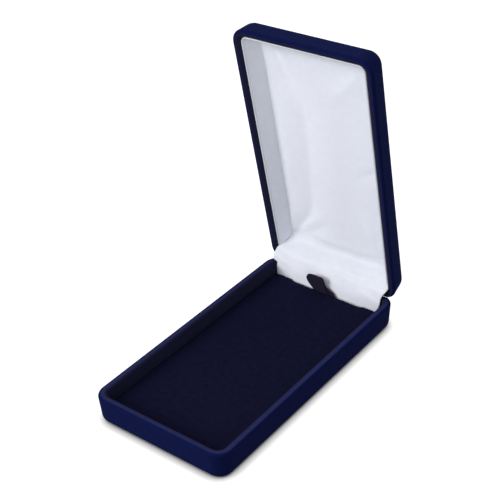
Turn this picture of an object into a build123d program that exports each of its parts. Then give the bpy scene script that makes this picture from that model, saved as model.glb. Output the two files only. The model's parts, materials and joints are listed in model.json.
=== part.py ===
from build123d import *
import os
from math import atan, atan2, cos, degrees, radians, sin, sqrt, tan

# A medal presentation case, standing open: X to the right, Y towards the hinge, Z up.
# The origin is the middle of the flat underside, and the front of the case faces -Y.

os.makedirs("parts", exist_ok=True)

# Case outline, in millimetres, measured at the rims
case_width = 62.0
case_length = 115.0
corner_radius = 6.5
base_height = 11.6
lid_height = 10.8
rim_gap = 0.2
open_angle = 79.5

# Moulded walls: the outside leans in from the rim by the side taper
rim_wall = 3.3
rim_outer_round = 1.1
base_rim_round = 0.9
lid_rim_bevel = 1.1
cavity_floor_bevel = 0.8
base_side_taper = 0.8
base_edge_round = 2.6
base_floor = 1.8
lid_side_taper = 1.45
lid_edge_round = 5.0
lid_roof = 1.6

# Ledge and ribs that carry the pad
ledge_height = 1.0
ledge_width = 2.4
ledge_back_gap = 6.0
rib_width = 1.6
rib_pitch = 28.0
rib_count = 3
back_rib_inset = 9.5
tongue_slot_clearance = 0.8

# Hinge: two pressed leaves, rolled round one pin, that fold over the back rims
pivot_inset = 1.4
hinge_width = 35.0
sheet_thickness = 0.6
pin_radius = 0.5
pin_clearance = 0.05
pin_overhang = 0.3
pin_end_bevel = 0.15
knuckle_gap = 0.2
lid_knuckle_length = 18.4
knuckle_clearance = 0.15
leaf_notch_clearance = 0.6
seat_side_clearance = 0.6
seat_end_clearance = 0.4
flange_length = 6.0
flange_corner_round = 1.5
stop_gap = 0.1

# Drive rivets that hold the leaves
rivet_spacing = 22.0
rivet_depth = 4.4
rivet_shank_radius = 0.6
rivet_clearance = 0.05
rivet_entry = 1.6
rivet_hole_spare = 0.2
rivet_head_radius = 1.2
rivet_head_height = 0.45
rivet_head_bevel = 0.3

# Snap spring: a foot under the base rivets and a finger on the lid knuckle's two flats
spring_thickness = 0.3
spring_foot_width = 27.0
spring_foot_height = 3.2
spring_finger_width = 12.0
spring_bend_depth = 1.0
spring_bend_radius = 0.5
spring_tip_gap = 0.05
finger_clearance = 0.4
cam_flat_depth = 0.25

# Loose pad: board, foam and cover, with a shallow notch in front of the hinge
pad_side_inset = 4.2
pad_back_inset = 5.45
pad_corner_radius = 2.6
pad_rest_gap = 0.2
pad_board_thickness = 1.0
pad_foam_thickness = 1.2
pad_cover_thickness = 0.4
pad_top_bevel = 0.6
pad_hem_width = 7.0
pad_notch_width = 35.0
pad_notch_depth = 1.05

# Folded ribbon tab: glued under the board, up through the notch, and leaning over the pad
tab_thickness = 0.6
tab_tongue_length = 12.0
tab_pad_gap = 0.3
tab_bend_radius = 0.7
tab_forward_lean = 10.0
tab_root_x = -0.6
tab_root_width = 11.1
tab_top_x = -4.2
tab_top_width = 8.2
tab_height = 8.0
tab_side_height = 5.0
tab_shoulder_x = 0.4
tab_shoulder_height = 3.2
tab_left_round = 1.8
tab_right_round = 0.9

# Lid lining: satin over card strips on three walls, and a padded panel on the roof
lining_wall_gap = 0.05
lining_card = 0.6
lining_satin = 0.4
lining_rim_step = 1.0
mitre_gap = 0.1
panel_card = 0.8
panel_satin = 0.3
panel_side_gap = 0.1
panel_corner_radius = 1.5
panel_crown = 1.1
panel_shoulder_width = 3.5
panel_shoulder_height = 0.7
panel_slope_width = 12.0

# Satin web over the hinge, from the base floor behind the pad to the panel's back edge
web_thickness = 0.35
web_side_inset = 4.8
web_corner_round = 3.0
web_base_inset = 4.95
web_floor_gap = 0.1
web_bend_drop = 1.2
web_rim_inset = 6.8
web_fold_inset = 10.2
web_bend_radius = 1.2
web_clearance = 0.3

# One overrun serves every cut
overrun = 2.0

# Planes of the two halves: origin on the rim's middle, y to the hinge, z from the rim into the half
pivot_y = case_length / 2 - pivot_inset
pivot_z = base_height + rim_gap / 2
swing = radians(open_angle)
lid_y_dir = Vector(0, cos(swing), -sin(swing))
lid_z_dir = Vector(0, sin(swing), cos(swing))
lid_origin = Vector(0, pivot_y, pivot_z) - lid_y_dir * pivot_y + lid_z_dir * (rim_gap / 2)
base_frame = Plane(origin=(0, 0, base_height), x_dir=(-1, 0, 0), z_dir=(0, 0, -1))
lid_frame = Plane(origin=lid_origin, x_dir=(1, 0, 0), z_dir=lid_z_dir)

# Sizes that follow from the sheet, the pin and the walls
bore_radius = pin_radius + pin_clearance
knuckle_radius = bore_radius + sheet_thickness
wall_face = pivot_inset - rim_wall
flange_face = wall_face - sheet_thickness
flange_end_depth = flange_length + knuckle_radius
lid_draft = degrees(atan(lid_side_taper / lid_height))
lid_cavity_depth = lid_height - lid_roof
panel_edge_depth = lid_cavity_depth - panel_card - panel_satin


def hinge_side(frame):
    """Plane across the hinge pin: x towards the back, y from the pin into the half."""
    origin = frame.origin + frame.y_dir * pivot_y - frame.z_dir * (rim_gap / 2)
    return Plane(origin=origin, x_dir=frame.y_dir, z_dir=frame.x_dir)


def rivet_plane(frame, face):
    """Plane at the rivets on a face in front of the back wall, looking out through the wall."""
    side = hinge_side(frame)
    origin = side.origin + side.x_dir * face + side.y_dir * rivet_depth
    return Plane(origin=origin, x_dir=frame.x_dir, z_dir=frame.y_dir)


def moulded_half(frame, height, side_taper, edge_round, closed_end, finish_rim, rim_size):
    """A drafted tray drawn from its rim, with rounded rims and the seat of its hinge leaf."""
    draft = degrees(atan(side_taper / height))
    depth_axis = Axis(frame.origin, frame.z_dir)
    side = hinge_side(frame)
    with BuildPart() as half:
        with BuildSketch(frame):
            RectangleRounded(case_width, case_length, corner_radius)
        extrude(amount=height, taper=draft)
        fillet(half.faces().sort_by(depth_axis)[-1].edges(), edge_round)
        fillet(half.faces().sort_by(depth_axis)[0].edges(), rim_outer_round)
        with BuildSketch(frame):
            RectangleRounded(
                case_width - 2 * rim_wall, case_length - 2 * rim_wall, corner_radius - rim_wall
            )
        extrude(amount=height - closed_end, taper=draft, mode=Mode.SUBTRACT)
        inner_rim = half.faces().sort_by(depth_axis)[0].inner_wires()[0].edges()
        finish_rim(inner_rim, rim_size)
        cavity_floor = half.faces().filter_by(frame).sort_by(depth_axis)[-2]
        chamfer(cavity_floor.edges(), cavity_floor_bevel)

        # Bevel behind the pin, where the two back rims meet when the lid is open
        bevel_angle = radians(open_angle / 2)
        bevel_start = (stop_gap / 2) / cos(bevel_angle)
        reach = pivot_inset + overrun
        with BuildSketch(side):
            with BuildLine():
                Polyline(
                    (0, -overrun),
                    (0, bevel_start),
                    (reach, bevel_start + reach * tan(bevel_angle)),
                    (reach, -overrun),
                    close=True,
                )
            make_face()
        extrude(amount=case_width, both=True, mode=Mode.SUBTRACT)

        # Trough for the rolled knuckles, lowered rim for the tab and flat pocket for the flange
        pocket_end = flange_end_depth + seat_end_clearance
        with BuildSketch(side):
            Circle(knuckle_radius + knuckle_clearance)
            with BuildLine():
                Polyline(
                    (0, -overrun),
                    (0, knuckle_radius),
                    (wall_face, knuckle_radius),
                    (wall_face, pocket_end),
                    (wall_face - overrun, pocket_end),
                    (wall_face - overrun, -overrun),
                    close=True,
                )
            make_face()
        extrude(amount=hinge_width / 2 + seat_side_clearance, both=True, mode=Mode.SUBTRACT)

        # Blind holes for the rivets
        with BuildSketch(rivet_plane(frame, wall_face)):
            with GridLocations(rivet_spacing, 0, 2, 1):
                Circle(rivet_shank_radius + rivet_clearance)
        extrude(amount=rivet_entry + rivet_hole_spare, mode=Mode.SUBTRACT)
    return half


# Base tray, with the ledge and ribs that carry the pad
with BuildPart() as base_shell:
    base_body = moulded_half(
        base_frame,
        base_height,
        base_side_taper,
        base_edge_round,
        base_floor,
        fillet,
        base_rim_round,
    )
    add(base_body)
    floor_inset = rim_wall + base_side_taper * (base_height - base_floor) / base_height
    floor_width = case_width - 2 * floor_inset
    floor_length = case_length - 2 * floor_inset
    with BuildSketch(Plane.XY.offset(base_floor)):
        RectangleRounded(floor_width, floor_length, corner_radius - floor_inset)
        with Locations((0, ledge_width - floor_length / 2)):
            Rectangle(
                floor_width - 2 * ledge_width,
                floor_length,
                align=(Align.CENTER, Align.MIN),
                mode=Mode.SUBTRACT,
            )
        with GridLocations(0, rib_pitch, 1, rib_count):
            Rectangle(floor_width, rib_width)
        with Locations((0, case_length / 2)):
            Rectangle(case_width, 2 * ledge_back_gap, mode=Mode.SUBTRACT)
        with Locations((0, case_length / 2 - back_rib_inset)):
            Rectangle(floor_width, rib_width)
        with Locations((tab_root_x, case_length / 2 - back_rib_inset)):
            Rectangle(
                tab_root_width + 2 * tongue_slot_clearance, 2 * rib_width, mode=Mode.SUBTRACT
            )
    extrude(amount=ledge_height)

# Lid
with BuildPart() as lid_shell:
    lid_body = moulded_half(
        lid_frame,
        lid_height,
        lid_side_taper,
        lid_edge_round,
        lid_roof,
        chamfer,
        lid_rim_bevel,
    )
    add(lid_body)


def hinge_leaf(frame, own_spans, other_spans):
    """Pressed leaf: flange on the wall's inner face, tab over the rim and rolled knuckles."""
    side = hinge_side(frame)
    with BuildPart() as leaf:
        with BuildSketch(side) as profile:
            with BuildLine():
                Polyline(
                    (0, bore_radius),
                    (flange_face, bore_radius),
                    (flange_face, flange_end_depth),
                    (wall_face, flange_end_depth),
                    (wall_face, knuckle_radius),
                    (0, knuckle_radius),
                    close=True,
                )
            make_face()
            outer_corner = profile.vertices().sort_by_distance((flange_face, bore_radius))[0]
            fillet(outer_corner, sheet_thickness)
        extrude(amount=hinge_width / 2, both=True)
        flange_end = leaf.faces().sort_by(Axis(frame.origin, frame.z_dir))[-1]
        flange_corners = flange_end.edges().filter_by(Axis(frame.origin, frame.y_dir))
        fillet(flange_corners, flange_corner_round)

        # The tab is cut away where the other leaf's knuckles turn
        for start, stop in other_spans:
            with BuildSketch(side.offset(start - knuckle_gap / 2)):
                with Locations((-knuckle_radius - leaf_notch_clearance, 0)):
                    Rectangle(
                        2 * knuckle_radius + leaf_notch_clearance,
                        2 * (knuckle_radius + knuckle_clearance),
                        align=(Align.MIN, Align.CENTER),
                    )
            extrude(amount=stop - start + knuckle_gap, mode=Mode.SUBTRACT)
        for start, stop in own_spans:
            with BuildSketch(side.offset(start + knuckle_gap / 2)):
                Circle(knuckle_radius)
            extrude(amount=stop - start - knuckle_gap)
        with BuildSketch(side):
            Circle(bore_radius)
        extrude(amount=hinge_width, both=True, mode=Mode.SUBTRACT)
        with BuildSketch(rivet_plane(frame, wall_face)):
            with GridLocations(rivet_spacing, 0, 2, 1):
                Circle(rivet_shank_radius + rivet_clearance)
        extrude(amount=2 * sheet_thickness, both=True, mode=Mode.SUBTRACT)
    return leaf


centre_span = [(-lid_knuckle_length / 2, lid_knuckle_length / 2)]
end_spans = [
    (-hinge_width / 2, -lid_knuckle_length / 2),
    (lid_knuckle_length / 2, hinge_width / 2),
]

# The spring's finger leaves the flange at a bend and points straight at the pin
finger_line = flange_face - spring_thickness / 2
finger_bend = Vector(finger_line, spring_bend_depth)
finger_tip = finger_bend.normalized() * (knuckle_radius + spring_tip_gap)

# Base leaf, notched for the finger
with BuildPart() as hinge_base_leaf:
    add(hinge_leaf(base_frame, end_spans, centre_span))
    with BuildSketch(hinge_side(base_frame)):
        with Locations((wall_face, 0)):
            Rectangle(
                2 * pivot_inset, 2 * (spring_bend_depth + spring_bend_radius + spring_thickness)
            )
    extrude(
        amount=spring_finger_width / 2 + finger_clearance, both=True, mode=Mode.SUBTRACT
    )

# Lid leaf, with a flat on the knuckle under the finger when the case is shut and when it is open
with BuildPart() as hinge_lid_leaf:
    add(hinge_leaf(lid_frame, centre_span, end_spans))
    shut_angle = -degrees(atan2(finger_tip.Y, finger_tip.X))
    flat_distance = knuckle_radius - cam_flat_depth
    flat_width = 2 * sqrt(knuckle_radius**2 - flat_distance**2)
    with BuildSketch(hinge_side(lid_frame)):
        for angle in (shut_angle, shut_angle + open_angle):
            with PolarLocations(flat_distance + cam_flat_depth, 1, start_angle=angle):
                Rectangle(2 * cam_flat_depth, flat_width)
    extrude(
        amount=spring_finger_width / 2 + finger_clearance, both=True, mode=Mode.SUBTRACT
    )

# Hinge pin, its ends bevelled
with BuildPart() as hinge_pin:
    with BuildSketch(hinge_side(base_frame)):
        Circle(pin_radius)
    extrude(amount=hinge_width / 2 + pin_overhang, both=True)
    chamfer(hinge_pin.edges().filter_by(GeomType.CIRCLE), pin_end_bevel)

# Flat snap spring
with BuildPart() as hinge_spring:
    with BuildSketch(rivet_plane(base_frame, flange_face)):
        RectangleRounded(spring_foot_width, spring_foot_height, rivet_head_radius)
        with GridLocations(rivet_spacing, 0, 2, 1):
            Circle(rivet_shank_radius + rivet_clearance, mode=Mode.SUBTRACT)
    extrude(amount=-spring_thickness)
    with BuildSketch(hinge_side(base_frame)):
        with BuildLine():
            FilletPolyline(
                (finger_line, rivet_depth), finger_bend, finger_tip, radius=spring_bend_radius
            )
        trace(line_width=spring_thickness)
    extrude(amount=spring_finger_width / 2, both=True)


def drive_rivets(frame, grip):
    """Two pan-headed rivets through whatever lies on the wall, grip thick, into the wall."""
    plane = rivet_plane(frame, wall_face - grip)
    with BuildPart() as rivets:
        with BuildSketch(plane):
            with GridLocations(rivet_spacing, 0, 2, 1):
                Circle(rivet_shank_radius)
        extrude(amount=grip + rivet_entry)
        with BuildSketch(plane):
            with GridLocations(rivet_spacing, 0, 2, 1):
                Circle(rivet_head_radius)
        extrude(amount=-rivet_head_height)
        head_faces = rivets.faces().group_by(Axis(plane.origin, plane.z_dir))[0]
        chamfer(head_faces.edges(), rivet_head_bevel)
    return rivets


with BuildPart() as hinge_base_rivets:
    add(drive_rivets(base_frame, sheet_thickness + spring_thickness))
with BuildPart() as hinge_lid_rivets:
    add(drive_rivets(lid_frame, sheet_thickness))

# Heights of the pad's layers
pad_bottom = base_floor + ledge_height + pad_rest_gap
pad_board_bottom = pad_bottom + pad_cover_thickness
pad_board_top = pad_board_bottom + pad_board_thickness
pad_foam_top = pad_board_top + pad_foam_thickness
pad_top = pad_foam_top + pad_cover_thickness
pad_width = case_width - 2 * pad_side_inset
pad_length = case_length - pad_side_inset - pad_back_inset
pad_middle = (pad_side_inset - pad_back_inset) / 2
pad_back = case_length / 2 - pad_back_inset
notch_edge = pad_back - pad_notch_depth


def pad_layer(bottom, top, inset, mode=Mode.ADD):
    """A layer of the pad between two heights, its outline drawn in by inset."""
    with BuildSketch(Plane.XY.offset(bottom)) as layer:
        with Locations((0, pad_middle)):
            RectangleRounded(
                pad_width - 2 * inset, pad_length - 2 * inset, pad_corner_radius - inset
            )
        with Locations((0, pad_back - inset)):
            Rectangle(pad_notch_width + 2 * inset, 2 * pad_notch_depth, mode=Mode.SUBTRACT)
    extrude(layer.sketch, amount=top - bottom, mode=mode)


with BuildPart() as pad_board:
    pad_layer(pad_board_bottom, pad_board_top, pad_cover_thickness)
with BuildPart() as pad_foam:
    pad_layer(pad_board_top, pad_foam_top, pad_cover_thickness)

# Cover: over the foam, down the edges and turned in under the board
with BuildPart() as pad_cover:
    pad_layer(pad_bottom, pad_top, 0)
    chamfer(pad_cover.faces().sort_by(Axis.Z)[-1].edges(), pad_top_bevel)
    pad_layer(pad_board_bottom, pad_foam_top, pad_cover_thickness, mode=Mode.SUBTRACT)
    with BuildSketch(Plane.XY.offset(pad_bottom)):
        with Locations((0, pad_middle)):
            Rectangle(pad_width - 2 * pad_hem_width, pad_length - 2 * pad_hem_width)
    extrude(amount=pad_cover_thickness, mode=Mode.SUBTRACT)

# Ribbon tab: its bent side view, cut to the outline that the fold shows from the front
tab_line = notch_edge + tab_pad_gap + tab_thickness / 2
tab_bottom = pad_bottom - tab_thickness / 2
with BuildPart() as ribbon_tab:
    with BuildSketch(Plane.YZ):
        with BuildLine():
            FilletPolyline(
                (tab_line - tab_tongue_length, tab_bottom),
                (tab_line, tab_bottom),
                (tab_line, pad_top),
                (
                    tab_line - (tab_height + overrun) * tan(radians(tab_forward_lean)),
                    pad_top + tab_height + overrun,
                ),
                radius=tab_bend_radius,
            )
        trace(line_width=tab_thickness)
    extrude(amount=case_width / 2, both=True)
    with BuildSketch(Plane.XZ) as tab_front:
        root_left = tab_root_x - tab_root_width / 2
        root_right = tab_root_x + tab_root_width / 2
        top_left = (tab_top_x - tab_top_width / 2, pad_top + tab_height)
        top_right = (tab_top_x + tab_top_width / 2, pad_top + tab_height)
        Polygon(
            (root_left, base_floor),
            (root_right, base_floor),
            (root_right, pad_top),
            (tab_shoulder_x, pad_top + tab_shoulder_height),
            top_right,
            top_left,
            (top_left[0], pad_top + tab_side_height),
            (root_left, pad_top),
            align=None,
        )
        fillet(tab_front.vertices().sort_by_distance(top_left)[0], tab_left_round)
        fillet(tab_front.vertices().sort_by_distance(top_right)[0], tab_right_round)
    extrude(amount=case_length / 2, both=True, mode=Mode.INTERSECT)


def cavity_outline(depth, inset, mode=Mode.ADD):
    """Outline of the lid's cavity at a depth from the rim, drawn in by inset."""
    edge = rim_wall + depth * lid_side_taper / lid_height + inset
    RectangleRounded(case_width - 2 * edge, case_length - 2 * edge, corner_radius - edge, mode=mode)


def cavity_block(near_depth, far_depth, inset, mode=Mode.ADD):
    """Drafted block inside the lid's cavity, its sides parallel to the walls."""
    with BuildSketch(lid_frame.offset(near_depth)) as outline:
        cavity_outline(near_depth, inset)
    extrude(outline.sketch, amount=far_depth - near_depth, taper=lid_draft, mode=mode)


def behind_web(clearance, mode):
    """Everything on the hinge side of the web's slope in the lid, less a clearance."""
    side = hinge_side(lid_frame)
    rim_point = Vector(pivot_inset - web_rim_inset, 0)
    fold_point = Vector(pivot_inset - web_fold_inset, panel_edge_depth)
    slope = (fold_point - rim_point).normalized()
    shift = Vector(slope.Y, -slope.X) * (-clearance - web_thickness / 2)
    start = rim_point + shift - slope * overrun
    stop = fold_point + shift + slope * overrun
    with BuildSketch(side) as hinge_region:
        with BuildLine():
            Polyline(start, stop, (overrun, stop.Y), (overrun, start.Y), close=True)
        make_face()
    extrude(hinge_region.sketch, amount=case_width, both=True, mode=mode)


def wall_wedge(wall):
    """Keeps the stretch of the lining that lies on one wall, mitred at the corners."""
    half_width = case_width / 2
    half_length = case_length / 2
    middle = half_length - half_width
    with BuildSketch(lid_frame) as wedge:
        with BuildLine():
            if wall == "front":
                tip = middle + half_width - mitre_gap
                Polyline(
                    (0, -middle - mitre_gap),
                    (-tip, -tip - middle),
                    (tip, -tip - middle),
                    close=True,
                )
            else:
                sign = -1 if wall == "left" else 1
                near = sign * mitre_gap
                far = sign * (half_width + overrun)
                Polyline(
                    (near, -middle),
                    (far, -middle - half_width - overrun + mitre_gap),
                    (far, half_length),
                    (near, half_length),
                    close=True,
                )
        make_face()
    extrude(wedge.sketch, amount=lid_height, mode=Mode.INTERSECT)


lining_end = lid_cavity_depth - cavity_floor_bevel
card_start = lining_rim_step + lining_satin
lining_walls = ("left", "right", "front")
wall_cards = {}
wall_satins = {}
for wall in lining_walls:
    with BuildPart() as card_strip:
        cavity_block(card_start, lining_end, lining_wall_gap)
        cavity_block(card_start, lining_end, lining_wall_gap + lining_card, mode=Mode.SUBTRACT)
        behind_web(web_clearance, Mode.SUBTRACT)
        wall_wedge(wall)
    wall_cards[wall] = card_strip

    # The satin turns over the card's edge at the rim
    with BuildPart() as satin_strip:
        cavity_block(lining_rim_step, card_start, lining_wall_gap)
        cavity_block(card_start, lining_end, lining_wall_gap + lining_card)
        cavity_block(
            lining_rim_step,
            lining_end,
            lining_wall_gap + lining_card + lining_satin,
            mode=Mode.SUBTRACT,
        )
        behind_web(web_clearance, Mode.SUBTRACT)
        wall_wedge(wall)
    wall_satins[wall] = satin_strip

# Padded panel on the lid's roof, pressed in between the wall strips
panel_edge = (
    rim_wall
    + lid_cavity_depth * lid_side_taper / lid_height
    + lining_wall_gap
    + lining_card
    + lining_satin
    + panel_side_gap
)
panel_back_inset = web_fold_inset + web_thickness + web_clearance
panel_width = case_width - 2 * panel_edge
panel_length = case_length - panel_edge - panel_back_inset
panel_middle = (panel_edge - panel_back_inset) / 2


def panel_block(near_depth, far_depth, inset, mode=Mode.ADD):
    """Straight block of the panel between two depths, its corners rounded."""
    with BuildSketch(lid_frame.offset(near_depth)) as outline:
        with Locations((0, panel_middle)):
            RectangleRounded(
                panel_width - 2 * inset, panel_length - 2 * inset, panel_corner_radius
            )
    extrude(outline.sketch, amount=far_depth - near_depth, mode=mode)


def crown_section(span):
    """Section of the pillow: low shoulders near its edges, then a long slope to a flat middle."""
    half = span / 2
    Polygon(
        (-half, 0),
        (half, 0),
        (half - panel_shoulder_width, panel_shoulder_height),
        (half - panel_slope_width, panel_crown),
        (panel_slope_width - half, panel_crown),
        (panel_shoulder_width - half, panel_shoulder_height),
        align=None,
    )


def panel_pillow(edge_depth, inset):
    """Crowned block with the same section across the lid and along it."""
    centre = lid_frame.origin + lid_frame.y_dir * panel_middle + lid_frame.z_dir * edge_depth
    with BuildSketch(Plane(centre, x_dir=lid_frame.x_dir, z_dir=lid_frame.y_dir)) as across:
        crown_section(panel_width - 2 * inset)
    extrude(across.sketch, amount=panel_length / 2 - inset, both=True)
    with BuildSketch(Plane(centre, x_dir=lid_frame.y_dir, z_dir=-lid_frame.x_dir)) as along:
        crown_section(panel_length - 2 * inset)
    extrude(along.sketch, amount=panel_width, both=True, mode=Mode.INTERSECT)


panel_card_face = lid_cavity_depth - panel_card
with BuildPart() as lid_panel_card:
    panel_block(panel_card_face, lid_cavity_depth, panel_satin)

with BuildPart() as lid_panel_wadding:
    panel_pillow(panel_card_face, panel_satin)
    panel_block(panel_card_face - panel_crown, panel_card_face, panel_satin, mode=Mode.INTERSECT)

# The panel's satin lies over the wadding and turns down round the card's edge
with BuildPart() as lid_panel_satin:
    panel_pillow(panel_edge_depth, 0)
    panel_block(panel_edge_depth, lid_cavity_depth, 0)
    panel_block(panel_edge_depth - panel_crown, lid_cavity_depth, 0, mode=Mode.INTERSECT)
    add(lid_panel_card, mode=Mode.SUBTRACT)
    add(lid_panel_wadding, mode=Mode.SUBTRACT)


def lid_to_side(inset, depth):
    """A point of the open lid, by its inset from the back and its depth, seen across the pin."""
    back = pivot_inset - inset
    into = depth + rim_gap / 2
    return (back * cos(swing) + into * sin(swing), -back * sin(swing) + into * cos(swing))


# Satin web: up behind the pad, over the hinge and back into the lid
with BuildPart() as satin_web:
    pin_line = Plane(origin=(0, pivot_y, pivot_z), x_dir=(0, 1, 0), z_dir=(1, 0, 0))
    web_line = pivot_inset - web_base_inset
    with BuildSketch(pin_line):
        with BuildLine():
            FilletPolyline(
                (web_line, base_floor + web_floor_gap - pivot_z),
                (web_line, -web_bend_drop),
                lid_to_side(web_rim_inset, 0),
                lid_to_side(web_fold_inset, panel_edge_depth),
                radius=web_bend_radius,
            )
        trace(line_width=web_thickness)
    extrude(amount=case_width / 2 - web_side_inset, both=True)
    lower_edge = satin_web.faces().sort_by(Axis.Z)[0]
    fillet(lower_edge.edges().filter_by(Axis.Y), web_corner_round)

pieces = {
    "base_shell": base_shell,
    "lid_shell": lid_shell,
    "hinge_base_leaf": hinge_base_leaf,
    "hinge_lid_leaf": hinge_lid_leaf,
    "hinge_pin": hinge_pin,
    "hinge_spring": hinge_spring,
    "hinge_base_rivets": hinge_base_rivets,
    "hinge_lid_rivets": hinge_lid_rivets,
    "pad_board": pad_board,
    "pad_foam": pad_foam,
    "pad_cover": pad_cover,
    "ribbon_tab": ribbon_tab,
    "lid_panel_card": lid_panel_card,
    "lid_panel_wadding": lid_panel_wadding,
    "lid_panel_satin": lid_panel_satin,
    "satin_web": satin_web,
}
for wall in lining_walls:
    pieces["lid_wall_card_" + wall] = wall_cards[wall]
    pieces["lid_wall_satin_" + wall] = wall_satins[wall]
for name, piece in pieces.items():
    piece.part.label = name
    export_step(piece.part, "parts/" + name + ".step")
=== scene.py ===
import json
import math

import bmesh
import bpy
from bpy.props import FloatProperty, FloatVectorProperty, PointerProperty
from mathutils import Matrix, Vector, noise


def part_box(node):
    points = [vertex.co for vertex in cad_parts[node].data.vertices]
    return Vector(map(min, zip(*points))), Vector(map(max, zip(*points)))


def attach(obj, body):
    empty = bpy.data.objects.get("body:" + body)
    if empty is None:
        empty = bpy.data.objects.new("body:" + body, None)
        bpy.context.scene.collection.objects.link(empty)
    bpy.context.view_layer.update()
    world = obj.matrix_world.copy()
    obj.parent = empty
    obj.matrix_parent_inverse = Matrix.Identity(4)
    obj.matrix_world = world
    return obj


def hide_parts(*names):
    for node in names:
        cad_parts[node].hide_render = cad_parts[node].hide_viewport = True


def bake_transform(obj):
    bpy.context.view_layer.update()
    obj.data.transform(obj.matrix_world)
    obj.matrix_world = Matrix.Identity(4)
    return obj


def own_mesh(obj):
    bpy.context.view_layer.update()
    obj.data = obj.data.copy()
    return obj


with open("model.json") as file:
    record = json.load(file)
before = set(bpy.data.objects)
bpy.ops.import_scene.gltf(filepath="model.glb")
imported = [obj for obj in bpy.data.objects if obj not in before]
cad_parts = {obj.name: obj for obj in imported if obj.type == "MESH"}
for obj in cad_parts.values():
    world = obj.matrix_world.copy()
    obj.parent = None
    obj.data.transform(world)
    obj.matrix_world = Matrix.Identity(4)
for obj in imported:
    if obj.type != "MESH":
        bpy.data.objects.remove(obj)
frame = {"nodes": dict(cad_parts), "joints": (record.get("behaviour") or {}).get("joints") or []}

bl_info = {
    "name": "Medal presentation case",
    "version": (1, 0, 0),
    "blender": (4, 5, 0),
    "location": "3D View > Sidebar > Medal Case",
    "description": "Dresses the packed frame of a hinged medal case in flock, velour and satin",
    "category": "Object",
}

MM = 0.001
WHITE = (1.0, 1.0, 1.0, 1.0)

# The hinge as the frame has it. The lid stands open at rest, by the joint's whole range.
hinge_joint = next(joint for joint in frame["joints"] if joint["name"] == "lid_hinge")
PIN_Y = hinge_joint["pos_m"][1] / MM
PIN_Z = hinge_joint["pos_m"][2] / MM
SWING = math.radians(hinge_joint["range_deg"][1])

# Outline of the moulded halves at the rim, in millimetres, as the frame's solids have it
HALF_WIDTH = 31.0
HALF_LENGTH = 57.5
RIM_WALL = 3.3
DRAFT = 0.1343
PIN_INSET = HALF_LENGTH - PIN_Y
# Half of the gap between the two rims when the case is shut
HALF_RIM_GAP = 0.1


def linear(colour):
    """A linear colour from an sRGB hex value."""
    parts = [int(colour[i : i + 2], 16) / 255 for i in (0, 2, 4)]
    return tuple(c / 12.92 if c <= 0.04045 else ((c + 0.055) / 1.055) ** 2.4 for c in parts)


def opaque(colour):
    """A linear colour with full alpha, as colour sockets take it."""
    return tuple(colour) + (1.0,)


def smooth_step(low, high, value):
    """0 below low and 1 above high, with a soft rise between them."""
    t = min(max((value - low) / (high - low), 0.0), 1.0)
    return t * t * (3 - 2 * t)


def table_value(table, at):
    """Straight-line reading of a table of (position, value) pairs in rising order."""
    if at <= table[0][0]:
        return table[0][1]
    for (a, first), (b, second) in zip(table, table[1:]):
        if at <= b:
            return first + (second - first) * (at - a) / (b - a)
    return table[-1][1]


def lid_point(x, inset, depth):
    """A point of the open lid, from its inset from the back and depth from the rim, all in mm."""
    back = PIN_INSET - inset
    into = depth + HALF_RIM_GAP
    y = PIN_Y + back * math.cos(SWING) + into * math.sin(SWING)
    z = PIN_Z - back * math.sin(SWING) + into * math.cos(SWING)
    return Vector((x, y, z))


def length_in_mm(name, description, default, low, high):
    """A length property from values in mm."""
    return FloatProperty(
        name=name,
        description=description,
        default=default * MM,
        min=low * MM,
        max=high * MM,
        unit="LENGTH",
    )


def finish_colour(name, description, colour):
    """A colour property from an sRGB hex value."""
    return FloatVectorProperty(
        name=name,
        description=description,
        subtype="COLOR",
        default=linear(colour),
        min=0.0,
        max=1.0,
    )


class MedalCaseSizes(bpy.types.PropertyGroup):
    """Sizes of the soft pieces that a user would change"""

    panel_crown: length_in_mm(
        "Panel crown", "How far the padded lid panel stands up in its middle", 1.7, 0, 4
    )
    pad_crown: length_in_mm(
        "Pad crown", "How far the pad's middle stands above its edges", 0.25, 0, 1.5
    )
    fold_depth: length_in_mm(
        "Fold depth", "Depth of the deepest tension fold in the satin", 0.45, 0, 1.5
    )
    ribbon_thickness: length_in_mm(
        "Ribbon thickness", "Thickness of one ply of the ribbon tab", 0.28, 0.1, 0.6
    )


class MedalCaseColours(bpy.types.PropertyGroup):
    """Colours of the finishes that a user would change"""

    flock: finish_colour("Flock", "Navy nylon flock on both halves", "09113a")
    velour: finish_colour("Velour", "Darker navy velour of the pad", "0f1027")
    satin: finish_colour("Satin", "White satin of the lid lining", "e3e6f0")
    ribbon: finish_colour("Ribbon", "Dark ribbon of the lifting tab", "160f24")


def add_node(tree, kind, inputs=None, **settings):
    """Adds a shader node with its settings, and gives its inputs values or links."""
    made = tree.nodes.new(kind)
    for key, value in settings.items():
        setattr(made, key, value)
    for key, value in (inputs or {}).items():
        if isinstance(value, bpy.types.NodeSocket):
            tree.links.new(value, made.inputs[key])
        else:
            made.inputs[key].default_value = value
    return made


def start_material(name):
    """A new material with an empty tree, and the tree."""
    material = bpy.data.materials.new(name)
    material.use_nodes = True
    material.node_tree.nodes.clear()
    return material, material.node_tree


def finish_material(tree, shader):
    """Joins a shader to the material's output."""
    add_node(tree, "ShaderNodeOutputMaterial", {"Surface": shader.outputs[0]})


def finish_principled(material, inputs):
    """Gives a material its main shader with its inputs."""
    tree = material.node_tree
    finish_material(tree, add_node(tree, "ShaderNodeBsdfPrincipled", inputs))
    return material


def noise_height(tree, place, size_mm, detail, roughness=0.5):
    """Soft noise with patches of a real size."""
    inputs = {
        "Vector": place,
        "Scale": 1 / (size_mm * MM),
        "Detail": detail,
        "Roughness": roughness,
    }
    return add_node(tree, "ShaderNodeTexNoise", inputs).outputs["Fac"]


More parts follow.
